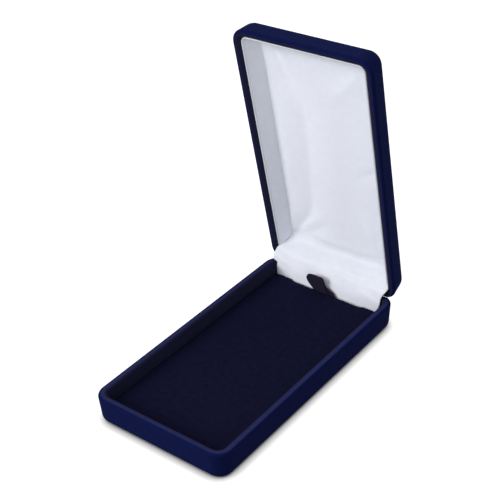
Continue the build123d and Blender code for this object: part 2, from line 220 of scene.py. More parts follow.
def bump_normal(tree, height, strength, depth_mm, under=None):
    """A bump of a real depth, laid over another bump where one is given."""
    inputs = {"Height": height, "Strength": strength, "Distance": depth_mm * MM}
    if under is not None:
        inputs["Normal"] = under
    return add_node(tree, "ShaderNodeBump", inputs).outputs["Normal"]


def map_range(tree, value, from_ends, to_ends=(0.0, 1.0)):
    """A value carried over from one range to another."""
    inputs = {
        "Value": value,
        "From Min": from_ends[0],
        "From Max": from_ends[1],
        "To Min": to_ends[0],
        "To Max": to_ends[1],
    }
    return add_node(tree, "ShaderNodeMapRange", inputs).outputs["Result"]


def two_values(tree, operation, first, second):
    """One operation on two values."""
    return add_node(tree, "ShaderNodeMath", {0: first, 1: second}, operation=operation).outputs[0]


def mixed_colour(tree, share, first, second, blend_type="MIX"):
    """A mix of two colours. The node's colour sockets are its numbers 6 and 7."""
    return add_node(
        tree,
        "ShaderNodeMix",
        {"Factor": share, 6: first, 7: second},
        data_type="RGBA",
        blend_type=blend_type,
    ).outputs[2]


def wave_bands(tree, cloth, direction, spacing_mm, distortion, detail=2.0):
    """Even bands a real distance apart. At scale 1 the wave texture turns 20 radians per unit."""
    inputs = {
        "Vector": cloth,
        "Scale": 2 * math.pi / (spacing_mm * MM) / 20,
        "Distortion": distortion,
        "Detail": detail,
    }
    return add_node(
        tree, "ShaderNodeTexWave", inputs, wave_type="BANDS", bands_direction=direction
    ).outputs["Fac"]


def mottled(tree, place, colour, spread, patch_mm):
    """A colour that drifts lighter and darker by spread, in soft patches of a real size."""
    patches = noise_height(tree, place, patch_mm, 3.0, 0.6)
    ramp = add_node(tree, "ShaderNodeValToRGB", {"Fac": patches})
    darker, lighter = ramp.color_ramp.elements
    darker.position = 0.3
    darker.color = opaque(c * (1 - spread) for c in colour)
    lighter.position = 0.7
    lighter.color = opaque(min(c * (1 + spread), 1.0) for c in colour)
    return ramp.outputs["Color"]


def nylon_flock(name, rim_middle, painted_rim_tone):
    """Nylon flock, blown on glue: short upright fibres, matt, in three tones told apart by how far
    a face looks outwards from rim_middle: full outside, painted light on the rim, painted shade
    inside."""
    material, tree = start_material(name)
    coordinates = add_node(tree, "ShaderNodeTexCoord")
    place = coordinates.outputs["Object"]
    colour = tuple(bpy.context.scene.medal_case_colours.flock)
    # Fibre tips are about 0.05 mm and too fine to show, so the grain is drawn at 0.35 mm
    grain = noise_height(tree, place, 0.35, 2.0, 0.7)
    # The fibres lean together in swathes about 6 mm wide
    swathes = bump_normal(tree, noise_height(tree, place, 6, 2.0), 0.35, 0.4)
    from_rim = add_node(
        tree, "ShaderNodeVectorMath", {0: place, 1: rim_middle}, operation="SUBTRACT"
    )
    outward = add_node(
        tree,
        "ShaderNodeVectorMath",
        {0: from_rim.outputs["Vector"], 1: coordinates.outputs["Normal"]},
        operation="DOT_PRODUCT",
    ).outputs["Value"]
    # The rim's flat looks neither out nor in. Its tone is painted light, laid unevenly in patches
    # of 1 to 2 mm
    rim = map_range(tree, outward, (2.5 * MM, 10 * MM), (1.0, 0.0))
    uneven = map_range(
        tree, noise_height(tree, place, 1.4, 3.0, 0.65), (0.3, 0.65), (0.75, 1.0)
    )
    outside = mixed_colour(
        tree,
        two_values(tree, "MULTIPLY", rim, uneven),
        mottled(tree, place, colour, 0.22, 1.2),
        opaque(linear(painted_rim_tone)),
    )
    # Faces that look inwards get a greyer tone, painted shade
    inside = map_range(tree, outward, (-1.5 * MM, -8 * MM))
    return finish_principled(
        material,
        {
            "Base Color": mixed_colour(tree, inside, outside, opaque(linear("1c1d34"))),
            "Roughness": 0.95,
            "Specular IOR Level": 0.05,
            "Sheen Weight": 0.015,
            "Sheen Roughness": 0.4,
            "Sheen Tint": opaque(linear("5560c8")),
            "Normal": bump_normal(tree, grain, 0.5, 0.12, swathes),
        },
    )


def cotton_velour():
    """Knitted velour with a short brushed pile: darker than the flock, as its fibres lie deeper."""
    material, tree = start_material("cotton_velour_navy")
    place = add_node(tree, "ShaderNodeTexCoord").outputs["Object"]
    colour = tuple(bpy.context.scene.medal_case_colours.velour)
    # The pile's fibres are about 0.02 mm and too fine to show, so the grain is drawn at 0.4 mm
    grain = noise_height(tree, place, 0.4, 2.0, 0.75)
    # Brushing leaves swathes about 9 mm wide
    swathes = bump_normal(tree, noise_height(tree, place, 9, 3.0), 0.4, 0.5)
    return finish_principled(
        material,
        {
            "Base Color": mottled(tree, place, colour, 0.2, 2.0),
            "Roughness": 1.0,
            "Specular IOR Level": 0.04,
            "Sheen Weight": 0.03,
            "Sheen Roughness": 0.5,
            "Sheen Tint": opaque(linear("4a4c80")),
            "Normal": bump_normal(tree, grain, 0.5, 0.15, swathes),
        },
    )


def share_along(tree, distance, stops):
    """A grey that follows (distance in mm, share of white) pairs in rising order."""
    first, last = stops[0][0], stops[-1][0]
    place = map_range(tree, distance, (first * MM, last * MM))
    ramp = add_node(tree, "ShaderNodeValToRGB", {"Fac": place})
    ramp.color_ramp.elements[1].position = 1.0
    for at, _ in stops[1:-1]:
        ramp.color_ramp.elements.new((at - first) / (last - first))
    for element, (_, share) in zip(ramp.color_ramp.elements, stops):
        element.color = (share, share, share, 1.0)
    return ramp.outputs["Color"]


def acetate_satin(name, way, stops):
    """Acetate satin: long floating threads give a soft sheen, with faint slubs. Painted shade greys
    it, as the stops say along one way of the cloth."""
    material, tree = start_material(name)
    coordinates = add_node(tree, "ShaderNodeTexCoord")
    place = coordinates.outputs["Object"]
    cloth = coordinates.outputs["UV"]
    colour = tuple(bpy.context.scene.medal_case_colours.satin)
    # Threads are 0.1 mm apart, too fine to show, so they are drawn as shallow bands 2.8 mm apart
    warp, weft = (wave_bands(tree, cloth, axis, 2.8274, 0.6, 1.0) for axis in "XY")
    weave = add_node(
        tree, "ShaderNodeMix", {"Factor": 0.3, "A": warp, "B": weft}, data_type="FLOAT"
    ).outputs["Result"]
    # Slubs are 1 to 2 mm long
    slubs = bump_normal(tree, noise_height(tree, place, 1.5, 3.0), 0.25, 0.08)
    along = add_node(tree, "ShaderNodeSeparateXYZ", {"Vector": cloth}).outputs[way]
    tone = mixed_colour(
        tree,
        1.0,
        mottled(tree, place, colour, 0.02, 3.0),
        share_along(tree, along, stops),
        "MULTIPLY",
    )
    return finish_principled(
        material,
        {
            "Base Color": tone,
            "Roughness": 0.5,
            "IOR": 1.47,
            "Specular IOR Level": 0.3,
            "Anisotropic": 0.4,
            "Sheen Weight": 0.05,
            "Sheen Roughness": 0.4,
            "Normal": bump_normal(tree, weave, 0.18, 0.03, slubs),
        },
    )


def ribbed_ribbon():
    """Ribbed polyester ribbon: fine cross ribs and a dull shine."""
    material, tree = start_material("ribbed_ribbon_dark_navy")
    coordinates = add_node(tree, "ShaderNodeTexCoord")
    colour = tuple(bpy.context.scene.medal_case_colours.ribbon)
    # Real ribs are 0.4 to 0.5 mm apart
    ribs = wave_bands(tree, coordinates.outputs["UV"], "Y", 0.45, 0.4)
    return finish_principled(
        material,
        {
            "Base Color": mottled(tree, coordinates.outputs["Object"], colour, 0.25, 0.8),
            "Roughness": 0.6,
            "Specular IOR Level": 0.2,
            "Sheen Weight": 0.02,
            "Normal": bump_normal(tree, ribs, 0.5, 0.06),
        },
    )


def sheet_steel(name, colour, roughness, scratch_mm):
    """Rolled steel strip: metal with fine scratches along the rolling direction. Real scratches are
    some hundredths of a millimetre wide and too fine to show, so scratch_mm is coarser."""
    material, tree = start_material(name)
    place = add_node(tree, "ShaderNodeTexCoord").outputs["Object"]
    stretched = add_node(
        tree, "ShaderNodeMapping", {"Vector": place, "Scale": (0.08, 1.0, 1.0)}
    ).outputs[0]
    scratches = noise_height(tree, stretched, scratch_mm, 4.0)
    return finish_principled(
        material,
        {
            "Base Color": mottled(tree, place, linear(colour), 0.06, 4.0),
            "Metallic": 1.0,
            "Roughness": map_range(
                tree, scratches, (0.0, 1.0), (roughness - 0.08, roughness + 0.12)
            ),
            "Normal": bump_normal(tree, scratches, 0.2, 0.02),
        },
    )


def grey_board():
    """Recycled grey board: matt, with darker and lighter fibre flecks about 0.5 mm long."""
    material, tree = start_material("recycled_grey_board")
    place = add_node(tree, "ShaderNodeTexCoord").outputs["Object"]
    flecks = noise_height(tree, place, 0.5, 4.0, 0.7)
    return finish_principled(
        material,
        {
            "Base Color": mottled(tree, place, linear("a39d92"), 0.15, 0.6),
            "Roughness": 0.9,
            "Normal": bump_normal(tree, flecks, 0.3, 0.05),
        },
    )


def soft_filling(name, colour, cell_mm):
    """Foam or wadding: matt and open, pitted at its own cell size."""
    material, tree = start_material(name)
    place = add_node(tree, "ShaderNodeTexCoord").outputs["Object"]
    cells = add_node(
        tree, "ShaderNodeTexVoronoi", {"Vector": place, "Scale": 1 / (cell_mm * MM)}
    ).outputs["Distance"]
    return finish_principled(
        material,
        {
            "Base Color": mottled(tree, place, linear(colour), 0.08, 1.5),
            "Roughness": 0.95,
            "Sheen Weight": 0.2,
            "Normal": bump_normal(tree, cells, 0.6, 0.1),
        },
    )


def dress(material, *names):
    """Gives CAD pieces their material."""
    for name in names:
        node = frame["nodes"][name]
        node.data.materials.clear()
        node.data.materials.append(material)


def running_lengths(points):
    """The distance along a line of points, at each of them."""
    lengths = [0.0]
    for first, second in zip(points, points[1:]):
        lengths.append(lengths[-1] + (second - first).length)
    return lengths


def cloth_from_rows(name, rows, material, thickness=0.0, closed=False):
    """A smooth mesh from rows of points in mm, with a map in metres along the cloth."""
    count = len(rows[0])
    points = [tuple(p * MM for p in point) for row in rows for point in row]
    faces = []
    for j in range(len(rows) - 1 + closed):
        for i in range(count - 1):
            a = j * count + i
            b = ((j + 1) % len(rows)) * count + i
            faces.append((a, a + 1, b + 1, b))
    mesh = bpy.data.meshes.new(name)
    mesh.from_pydata(points, [], faces)
    along = running_lengths([row[count // 2] for row in rows])
    across = [running_lengths(row) for row in rows]
    uv = mesh.uv_layers.new(name="cloth")
    for polygon in mesh.polygons:
        for corner in polygon.loop_indices:
            j, i = divmod(mesh.loops[corner].vertex_index, count)
            uv.data[corner].uv = (across[j][i] * MM, along[j] * MM)
        polygon.use_smooth = True
    mesh.materials.append(material)
    piece = bpy.data.objects.new(name, mesh)
    bpy.context.scene.collection.objects.link(piece)
    if thickness:
        solidify = piece.modifiers.new("ply", "SOLIDIFY")
        solidify.thickness = thickness
        solidify.offset = -1.0
    return piece


# Thickness of the sheets, in mm
SATIN_THICKNESS = 0.12
VELOUR_THICKNESS = 0.3
# Straight parts of a rounded corner
CURVE_PARTS = 8


def rounded_path(corners, radii, step):
    """Points about a step apart along a line whose inner corners are rounded."""
    corners = [Vector(c) for c in corners]
    runs = [corners[0]]
    for before, corner, after, radius in zip(corners, corners[1:], corners[2:], radii):
        start = corner + (before - corner).normalized() * radius
        stop = corner + (after - corner).normalized() * radius
        runs.append(start)
        for k in range(1, CURVE_PARTS):
            t = k / CURVE_PARTS
            runs.append(start * (1 - t) ** 2 + corner * 2 * t * (1 - t) + stop * t**2)
        runs.append(stop)
    runs.append(corners[-1])
    points = [runs[0]]
    for first, second in zip(runs, runs[1:]):
        pieces = max(1, round((second - first).length / step))
        points += [first.lerp(second, k / pieces) for k in range(1, pieces + 1)]
    return points


def crowded_shares(steps, bend):
    """Numbers from -1 to 1, closer together near both ends the more they bend."""
    even = [2 * k / steps - 1 for k in range(steps + 1)]
    return [bend * math.sin(math.pi / 2 * t) + (1 - bend) * t for t in even]


# Lid panel between the wall linings, in mm: where it starts and ends, as insets from the lid's
# back, its half width, how far its satin is tucked behind the linings, and its depth from the rim
PANEL_BACK = 10.5
PANEL_FRONT = 107.9
PANEL_HALF = 23.9
PANEL_TUCK = 0.45
PANEL_DEPTH = 8.1

# The long fold of the panel's satin, as (inset, x) in mm. It bends from one left corner to the
# other.
LONG_FOLD = (
    (12.0, -21.6),
    (15.0, -19.6),
    (20.0, -16.4),
    (25.0, -12.9),
    (30.0, -11.2),
    (35.0, -10.4),
    (42.0, -9.8),
    (50.0, -9.3),
    (60.0, -8.7),
    (70.0, -8.3),
    (80.0, -7.9),
    (84.0, -8.5),
    (88.0, -9.7),
    (92.0, -11.0),
    (95.0, -12.1),
    (98.0, -13.6),
    (101.0, -15.3),
    (104.0, -17.6),
    (107.0, -20.5),
)

# Fullness of the wadding from the left wall to the long fold, and from there to the right wall, as
# (share of the way, share of the crown)
LEFT_FULLNESS = ((0.0, 0.05), (0.11, 0.47), (0.23, 0.76), (0.36, 0.73), (0.65, 0.5), (1.0, 0.08))
RIGHT_FULLNESS = (
    (0.0, 0.08),
    (0.17, 0.66),
    (0.3, 0.92),
    (0.42, 0.96),
    (0.75, 0.55),
    (0.94, 0.26),
    (1.0, 0.05),
)

# Small tension folds: start (x, inset) and end (x, inset) in mm, share of the fold depth (a valley
# is negative) and the widths in mm of its left and right flanks, looking from start to end
TENSION_FOLDS = (
    (-21.8, 12.2, -3.0, 30.0, 0.75, 1.3, 3.0),
    (-18.5, 11.2, 1.0, 27.0, -1.35, 3.0, 6.0),
    (-17.5, 110.5, -10.5, 79.5, -1.9, 1.4, 4.2),
    (23.0, 105.5, 3.0, 84.0, 1.2, 6.0, 3.2),
    (24.5, 59.9, 12.0, 51.5, -0.75, 1.2, 1.4),
    (22.5, 12.5, 11.0, 38.0, 1.3, 6.0, 3.5),
    (-21.5, 40.0, -15.5, 58.0, 0.35, 2.2, 2.2),
)


def folded_fullness(x, inset):
    """Height of the wadding as a share of its crown, least at the walls and along the long fold."""
    fold_x = table_value(LONG_FOLD, inset)
    left_wall = -(PANEL_HALF + PANEL_TUCK)
    if x < fold_x:
        return table_value(LEFT_FULLNESS, (x - left_wall) / (fold_x - left_wall))
    return table_value(RIGHT_FULLNESS, (x - fold_x) / (-left_wall - fold_x))


# Half width in mm over which a tension fold's crest is rounded
CREST_ROUNDING = 0.5


def tension_fold(x, inset, fold):
    """Height of one small fold at a point: a soft crest that fades out along its length."""
    start_x, start_inset, end_x, end_inset, share, left, right = fold
    run = Vector((end_x - start_x, end_inset - start_inset))
    place = Vector((x - start_x, inset - start_inset))
    along = place.dot(run) / run.length_squared
    if not 0 < along < 1:
        return 0.0
    off = (run.x * place.y - run.y * place.x) / run.length
    flank = left if off > 0 else right
    crest = math.exp(-(math.hypot(off, CREST_ROUNDING) - CREST_ROUNDING) / flank)
    return share * crest * smooth_step(0.0, 0.25, along) * (1 - smooth_step(0.5, 1.0, along))


# The long fold is rounded by averaging the fullness this many mm to either side
FOLD_ROUNDING = 1.1
# The panel's rise at its front end, as a share of the crown, and how fast it fades, in mm
FRONT_RISE = 0.6
FRONT_RISE_FADE = 5.0
# Height in mm of the satin's slow unevenness
PANEL_UNEVEN = 0.1
# The satin's least height above the card, in mm
PANEL_LEAST = 0.02


def panel_height(x, inset, crown, fold_depth):
    """How far the satin stands above the card: high along the left wall and in the middle."""
    near = 0.0
    for offset, weight in ((-FOLD_ROUNDING, 0.25), (0.0, 0.5), (FOLD_ROUNDING, 0.25)):
        near += weight * folded_fullness(x + offset, inset)
    height = crown * near
    to_wall = PANEL_HALF - abs(x)
    to_front = max(PANEL_FRONT - inset, 0.0)
    rise = FRONT_RISE * crown * math.exp(-to_front / FRONT_RISE_FADE)
    height += rise * smooth_step(0.0, 6.0, to_wall)
    for fold in TENSION_FOLDS:
        height += fold_depth * tension_fold(x, inset, fold)
    uneven = PANEL_UNEVEN * noise.noise(Vector((x * 0.06, inset * 0.035, 4.0)))
    height += uneven * smooth_step(0.0, 4.0, min(to_wall, to_front))
    return max(height, PANEL_LEAST)


# Outline of the pad, in mm, with the slope of its back edge and the half width of the notch's steps
PAD_HALF_WIDTH = 26.8
PAD_FRONT = -53.3
PAD_BACK = 52.55
PAD_BACK_SLOPE = 0.017
PAD_CORNER = 2.6
PAD_NOTCH_HALF = 17.5
PAD_NOTCH_DEPTH = 1.05
PAD_NOTCH_STEP = 0.35
PAD_TOP = 6.0
PAD_UNDER = 3.0


def pad_back_line(x):
    """The line of the pad's back edge, which isn't quite square to its sides."""
    return PAD_BACK - PAD_BACK_SLOPE * x


def pad_back_edge(x):
    """The pad's back edge, which steps forward in the shallow notch."""
    low, high = PAD_NOTCH_HALF - PAD_NOTCH_STEP, PAD_NOTCH_HALF + PAD_NOTCH_STEP
    step = 1 - smooth_step(low, high, abs(x))
    return pad_back_line(x) - PAD_NOTCH_DEPTH * step


# Half widths of the web below the panel, left and right, as (height above the table, half width)
# in mm
WEB_LEFT = (
    (2.0, 26.8),
    (5.0, 27.5),
    (9.5, 27.6),
    (11.5, 27.9),
    (12.3, 28.5),
    (13.3, 28.6),
    (15.0, 28.4),
    (17.1, 27.8),
    (18.7, 26.3),
    (20.3, 24.7),
    (21.9, 24.4),
)
WEB_RIGHT = (
    (2.0, 23.0),
    (4.7, 23.8),
    (7.0, 25.0),
    (9.5, 25.8),
    (11.6, 25.7),
    (13.5, 26.4),
    (15.2, 27.4),
    (16.8, 28.2),
    (19.0, 26.6),
    (21.9, 24.6),
)

# Where the web goes down behind the pad, in mm: its y in front of the rivet heads, its gap from the
# pad's back edge beside the notch, and the distances from the middle between which it changes over
WEB_AT_RIVETS = 52.58
WEB_BEHIND_PAD = 0.35
WEB_NOTCH_ENDS = (14.5, 18.5)

# Rows of the panel's satin and of the web below it, and columns across both
PANEL_STATIONS = 96
WEB_STATIONS = 44
SATIN_COLUMNS = 72
# How far past the panel's back end the panel's rows run, in mm
PANEL_OVERRUN = 3.4


def web_foot(x):
    """The y of the web behind the pad: just clear of the pad's back edge, and in its shallow notch
    just in front of the hinge's rivet heads."""
    beside_notch = smooth_step(*WEB_NOTCH_ENDS, abs(x))
    beside = pad_back_line(x) + WEB_BEHIND_PAD
    return WEB_AT_RIVETS + (beside - WEB_AT_RIVETS) * beside_notch


def web_profile(start):
    """The web's way down in y and z, in mm: into the hollow at the panel's end, over the lid's rim
    and down behind the pad to its hem."""
    foot = web_foot(start.x)
    hollow = lid_point(0, PANEL_BACK + 0.1, PANEL_DEPTH - 0.7)
    rim = lid_point(0, 6.8, -0.1)
    corners = (
        (start.y, start.z),
        (hollow.y, hollow.z),
        (rim.y, rim.z),
        (foot + 0.1, 10.7),
        (foot, 5.6),
        (foot, 2.1),
    )
    # The hollow is sharp beside the left wall lining and soft elsewhere
    hollow_radius = 3.2 - 2.6 * smooth_step(20.5, 23.5, -start.x)
    return rounded_path(corners, (hollow_radius, 2.4, 2.2, 1.5), 0.8)


def lining_rows(crown, fold_depth):
    """Rows of the panel and web satin, from the lid's front end down to the base's floor."""
    shares = crowded_shares(SATIN_COLUMNS, 0.35)
    half = PANEL_HALF + PANEL_TUCK
    front = PANEL_FRONT + PANEL_TUCK
    rows = []
    for k in range(PANEL_STATIONS + 1):
        # The rows stand a little closer together at both ends
        t = k / PANEL_STATIONS
        eased = 0.75 * t + 0.25 * (1 - math.cos(math.pi * t)) / 2
        inset = front + (PANEL_BACK + PANEL_OVERRUN - front) * eased
        row = []
        for share in shares:
            x = half * share
            height = panel_height(x, inset, crown, fold_depth)
            row.append(lid_point(x, inset, PANEL_DEPTH - height))
        rows.append(row)
    web = [[] for _ in range(WEB_STATIONS)]
    for share, start in zip(shares, rows[-1]):
        profile = web_profile(start)
        lengths = running_lengths(profile)
        along = list(zip(lengths, [p.x for p in profile]))
        upward = list(zip(lengths, [p.y for p in profile]))
        for k, row in enumerate(web):
            at = lengths[-1] * (k + 1) / WEB_STATIONS
            y = table_value(along, at)
            z = table_value(upward, at)
            edge = table_value(WEB_LEFT if share < 0 else WEB_RIGHT, z)
            row.append(web_point(edge * share, y, z, share, fold_depth))
    return rows + web


def web_point(x, y, z, share, fold_depth):
    """A point of the web, with the long shallow crease over the knuckle, a fainter one below it, a
    slow ripple and small puckers near its ends. The foot behind the pad stays flat."""
    crease_z = 17.9 + 0.012 * (x + 18)
    crease = math.exp(-(((z - crease_z) / 0.5) ** 2)) * smooth_step(-24, -14, x)
    second_z = 15.6 + 0.01 * x
    second = math.exp(-(((z - second_z) / 0.7) ** 2)) * smooth_step(-8, 4, x)
    ripple = noise.noise(Vector((x * 0.11, z * 0.16, 9.0))) * smooth_step(6.5, 11.0, z)
    ends = smooth_step(0.6, 1.0, abs(share))
    pucker = math.sin(z * 1.3 + x * 0.35) * ends * smooth_step(8.0, 12.0, z)
    out = -fold_depth * (0.35 * crease + 0.2 * second) + 0.35 * ripple + 0.18 * pucker
    return Vector((x, y - out * 0.75, z + out * 0.45))


# Cross-section of the wall lining: distance in from the cavity's wall and depth from the rim, in mm
WALL_SECTION = (
    (0.1, 1.5),
    (0.16, 1.16),
    (0.34, 1.02),
    (0.6, 1.0),
    (0.84, 1.08),
    (0.98, 1.32),
    (1.1, 1.8),
    (1.4, 2.8),
    (1.76, 4.2),
    (2.12, 5.6),
    (2.48, 7.0),
    (2.8, 8.3),
)

# How much further the lining leans in at the panel, from the hinge end to the front end, in mm
WALL_LEAN = ((0.0, 0.35), (0.2, 0.8), (0.5, 1.1), (0.8, 1.4), (1.0, 1.9))
# The depth in mm where the lean starts, how much deeper it is full, and the power that bows it
LEAN_FROM = 1.3
LEAN_OVER = 7.0
LEAN_BOW = 1.2

# Diagonal room that the lining leaves at the cavity's rounded corners, by its gap from the wall
CORNER_ROOM = ((0.1, 1.43), (0.9, 2.15))
# The lining's slanted hinge end: its inset from the back at the rim, and its slant per mm of depth
WALL_END = 7.1
WALL_END_SLANT = 0.22
# Parts along a side wall, the front wall and a corner
SIDE_PARTS = 60
FRONT_PARTS = 36
CORNER_PARTS = 8
# Height in mm of the lining's slow waves
WALL_WAVE = 0.07


def wall_stations():
    """Names of the walls and corners in order, each with the shares of the way along it."""
    side = [k / SIDE_PARTS for k in range(SIDE_PARTS + 1)]
    front = [k / FRONT_PARTS for k in range(FRONT_PARTS + 1)]
    corner = [k / CORNER_PARTS for k in range(1, CORNER_PARTS)]
    walls = (
        ("left", side),
        ("front_left", corner),
        ("front", front),
        ("front_right", corner),
        ("right", side),
    )
    return [(wall, share) for wall, shares in walls for share in shares]


def wall_rows():
    """Rows of the wall lining, round the lid from the left wall's hinge end to the right wall's."""
    rows = []
    for number, (wall, share) in enumerate(wall_stations()):
        row = []
        to_front = {"left": share, "right": 1 - share}.get(wall, 1.0)
        for rest_off, depth in WALL_SECTION:
            lean = table_value(WALL_LEAN, to_front)
            lean *= max((depth - LEAN_FROM) / LEAN_OVER, 0.0) ** LEAN_BOW
            off = rest_off + lean
            edge = RIM_WALL + DRAFT * depth + off
            wave = WALL_WAVE * noise.noise(Vector((number * 0.13, depth * 0.12, 2.0)))
            edge += wave * smooth_step(0.5, 2.0, depth)
            room = table_value(CORNER_ROOM, off)
            radius = max((room - math.sqrt(2) * off) / (math.sqrt(2) - 1), 0.3)
            across = HALF_WIDTH - edge - radius
            straight = HALF_LENGTH - edge - radius
            hinge_end = HALF_LENGTH - (WALL_END + WALL_END_SLANT * depth)
            turn = math.pi / 2 * share
            rising, falling = radius * math.sin(turn), radius * math.cos(turn)
            if wall == "left":
                x, y = -(HALF_WIDTH - edge), hinge_end + (-straight - hinge_end) * share
            elif wall == "right":
                x, y = HALF_WIDTH - edge, -straight + (hinge_end + straight) * share
            elif wall == "front":
                x, y = -across + 2 * across * share, -(HALF_LENGTH - edge)
            elif wall == "front_left":
                x, y = -across - falling, -straight - rising
            else:
                x, y = across + rising, -straight - falling
            row.append(lid_point(x, HALF_LENGTH - y, depth))
        rows.append(row)
    return rows


def pad_span(x, inset):
    """The lowest and highest y of the pad at x, its outline drawn in by inset."""
    half = PAD_HALF_WIDTH - inset
    corner = PAD_CORNER - inset
    over = abs(x) - (half - corner)
    cut = corner - math.sqrt(max(corner**2 - over**2, 0.0)) if over > 0 else 0.0
    return PAD_FRONT + inset + cut, pad_back_edge(x) - inset - cut


# Columns and rows of the sheets over the pad
PAD_COLUMNS = 72
PAD_ROWS = 120
# How far from its edges the pad reaches its full height, and its slow unevenness, in mm
PAD_SWELL = 16.0
PAD_UNEVEN = 0.08


def lowered(points, height):
    """The same points, all at one height."""
    return [Vector((p.x, p.y, height)) for p in points]


def pad_sheet_rows(inset, top, round_off, crown, under):
    """Rows of a cover over the pad: up from the hem, over the top and down to the other hem."""
    half = PAD_HALF_WIDTH - inset
    xs = [half * share for share in crowded_shares(PAD_COLUMNS, 0.45)]
    rows = []
    for share in crowded_shares(PAD_ROWS, 0.35):
        row = []
        for x in xs:
            low, high = pad_span(x, inset)
            y = (low + high) / 2 + (high - low) / 2 * share
            side = min(half - abs(x), (1 - abs(share)) * (high - low) / 2)
            drop = round_off - math.sqrt(max(round_off**2 - max(round_off - side, 0.0) ** 2, 0.0))
            swell = crown * smooth_step(0.0, PAD_SWELL, side)
            uneven = PAD_UNEVEN * noise.noise(Vector((x * 0.09, y * 0.06, 1.0)))
            swell += uneven * smooth_step(0.0, 5.0, side)
            row.append(Vector((x, y, top - drop + swell)))
        rows.append(row)
    rows = [lowered(row[:1], under) + row + lowered(row[-1:], under) for row in rows]
    return [lowered(rows[0], under)] + rows + [lowered(rows[-1], under)]


# Ribbon tab, as rows of (height above the board's underside, y, left x, right x): up the front
# leg, over the fold and down the back leg, which is spread to the right
RIBBON_ROWS = (
    (-0.25, 42.0, -6.2, 2.0),
    (-0.25, 46.0, -6.2, 2.0),
    (-0.25, 50.4, -6.2, 2.0),
    (0.1, 51.1, -6.2, 2.0),
    (1.5, 51.2, -6.2, 1.9),
    (3.0, 51.2, -6.2, 1.6),
    (4.2, 51.0, -6.75, 1.2),
    (5.6, 50.8, -7.85, 0.7),
    (7.0, 50.55, -8.5, 0.35),
    (8.5, 50.3, -8.8, 0.1),
    (9.7, 50.1, -8.45, -0.1),
    (10.6, 49.95, -7.75, -0.35),
    (11.15, 49.9, -6.9, -0.8),
    (11.35, 50.15, -6.2, -1.3),
    (11.2, 50.45, -6.1, -1.0),
    (10.6, 50.65, -6.3, -0.45),
    (9.0, 50.9, -6.0, 0.05),
    (7.0, 51.15, -4.9, 0.45),
    (6.2, 51.3, -4.4, 1.1),
    (5.5, 51.4, -4.0, 2.4),
    (4.3, 51.6, -3.4, 3.8),
    (3.0, 51.75, -3.0, 4.7),
    (1.5, 51.8, -2.9, 4.8),
    (0.0, 51.75, -2.9, 4.8),
    (-0.6, 51.2, -2.9, 4.8),
    (-0.62, 46.0, -2.9, 4.8),
    (-0.62, 42.0, -2.9, 4.8),
)

# Rows drawn for each row of the table, the ribbon's columns, and how far its edges curl, in mm
RIBBON_PARTS = 4
RIBBON_COLUMNS = 12
RIBBON_CURL = 0.18


def curve_value(a, b, c, d, t):
    """A smooth curve's value at share t from b to c, which come after a and before d."""
    return 0.5 * (
        2 * b
        + (c - a) * t
        + (2 * a - 5 * b + 4 * c - d) * t * t
        + (3 * b - a - 3 * c + d) * t**3
    )


def ribbon_rows():
    """Dense rows of the folded ribbon, in soft curves through the table's rows."""
    last = len(RIBBON_ROWS) - 1
    dense = []
    for k in range(last):
        near = [RIBBON_ROWS[min(max(k + step, 0), last)] for step in (-1, 0, 1, 2)]
        for part in range(RIBBON_PARTS):
            t = part / RIBBON_PARTS
            dense.append([curve_value(*four, t) for four in zip(*near)])
    dense.append(RIBBON_ROWS[last])
    rows = []
    for height, y, left, right in dense:
        row = []
        for i in range(RIBBON_COLUMNS + 1):
            share = i / RIBBON_COLUMNS
            curl = RIBBON_CURL * (2 * share - 1) ** 2 * smooth_step(3.0, 7.0, height)
            row.append(Vector((left + (right - left) * share, y - curl, PAD_UNDER + height)))
        rows.append(row)
    return rows


class MEDALCASE_OT_shells(bpy.types.Operator):
    """Covers the moulded base and lid in navy flock"""

    bl_idname = "medal_case.shells"
    bl_label = "Flocked shells"

    def execute(self, context):
        # The rim tones are painted light: a painted highlight on the base's rim, painted shade on
        # the lid's
        base_rim = (0.0, 0.0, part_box("base_shell")[1][2])
        dress(nylon_flock("nylon_flock_navy_base", base_rim, "24274f"), "base_shell")
        lid_rim = tuple(lid_point(0, HALF_LENGTH, 0) * MM)
        dress(nylon_flock("nylon_flock_navy_lid", lid_rim, "191b3a"), "lid_shell")
        return {"FINISHED"}


class MEDALCASE_OT_hinge(bpy.types.Operator):
    """Finishes the hinge leaves, pin, rivets and snap spring in steel"""

    bl_idname = "medal_case.hinge"
    bl_label = "Hinge"

    def execute(self, context):
        dress(
            sheet_steel("zinc_plated_steel", "b9b8b0", roughness=0.34, scratch_mm=0.3),
            "hinge_base_leaf",
            "hinge_lid_leaf",
            "hinge_pin",
            "hinge_base_rivets",
            "hinge_lid_rivets",
        )
        dress(
            sheet_steel("blued_spring_steel", "5c646e", roughness=0.3, scratch_mm=0.25),
            "hinge_spring",
        )
        return {"FINISHED"}


class MEDALCASE_OT_boards(bpy.types.Operator):
    """Gives the hidden boards of the lining and the pad their grey board"""

    bl_idname = "medal_case.boards"
    bl_label = "Boards"

    def execute(self, context):
        dress(
            grey_board(),
            "lid_panel_card",
            "lid_wall_card_left",
            "lid_wall_card_right",
            "lid_wall_card_front",
            "pad_board",
        )
        return {"FINISHED"}


